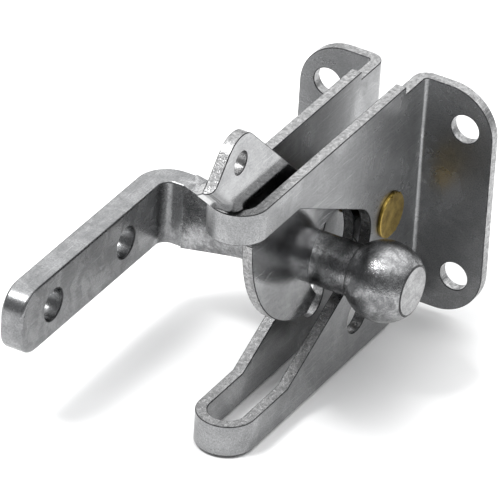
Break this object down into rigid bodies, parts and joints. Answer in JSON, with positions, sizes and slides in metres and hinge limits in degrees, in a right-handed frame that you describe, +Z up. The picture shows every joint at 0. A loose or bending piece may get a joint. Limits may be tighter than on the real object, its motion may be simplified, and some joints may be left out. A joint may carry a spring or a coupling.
{
  "type": "gate latch",
  "caption": "Automatic gate latch: folded case with a wide mouth, gravity pawl on a rivet, and a ball-ended strike bar on a strap.",
  "frame": {"origin": "on the post face, midway between the four screw holes, at the height of the pawl's rivet", "axes": "+Z up along the post, +Y into the post, +X to the side of the ball end; the mouth opens towards -Y"},
  "size_m": [0.0717, 0.1021, 0.0859],
  "materials": {
    "case_zinc": "bright zinc plate, satin, lightly scratched",
    "pawl_zinc": "bright zinc plate, satin, lightly scratched",
    "yellow_zinc": "yellow zinc plate, fine scratches",
    "strike_zinc": "zinc plate over a forged skin, mottled and scuffed"
  },
  "bodies": {
    "case": {"latch_case": "case_zinc", "pivot_rivet": "yellow_zinc", "strike_bar": "strike_zinc"},
    "pawl": {"pawl": "pawl_zinc"}
  },
  "joints": [
    {"name": "pawl_lift", "type": "hinge", "parent": "case", "child": "pawl", "pos_m": [0, -0.0163, 0], "axis": [-1, 0, 0], "range_deg": [0, 45]}
  ]
}
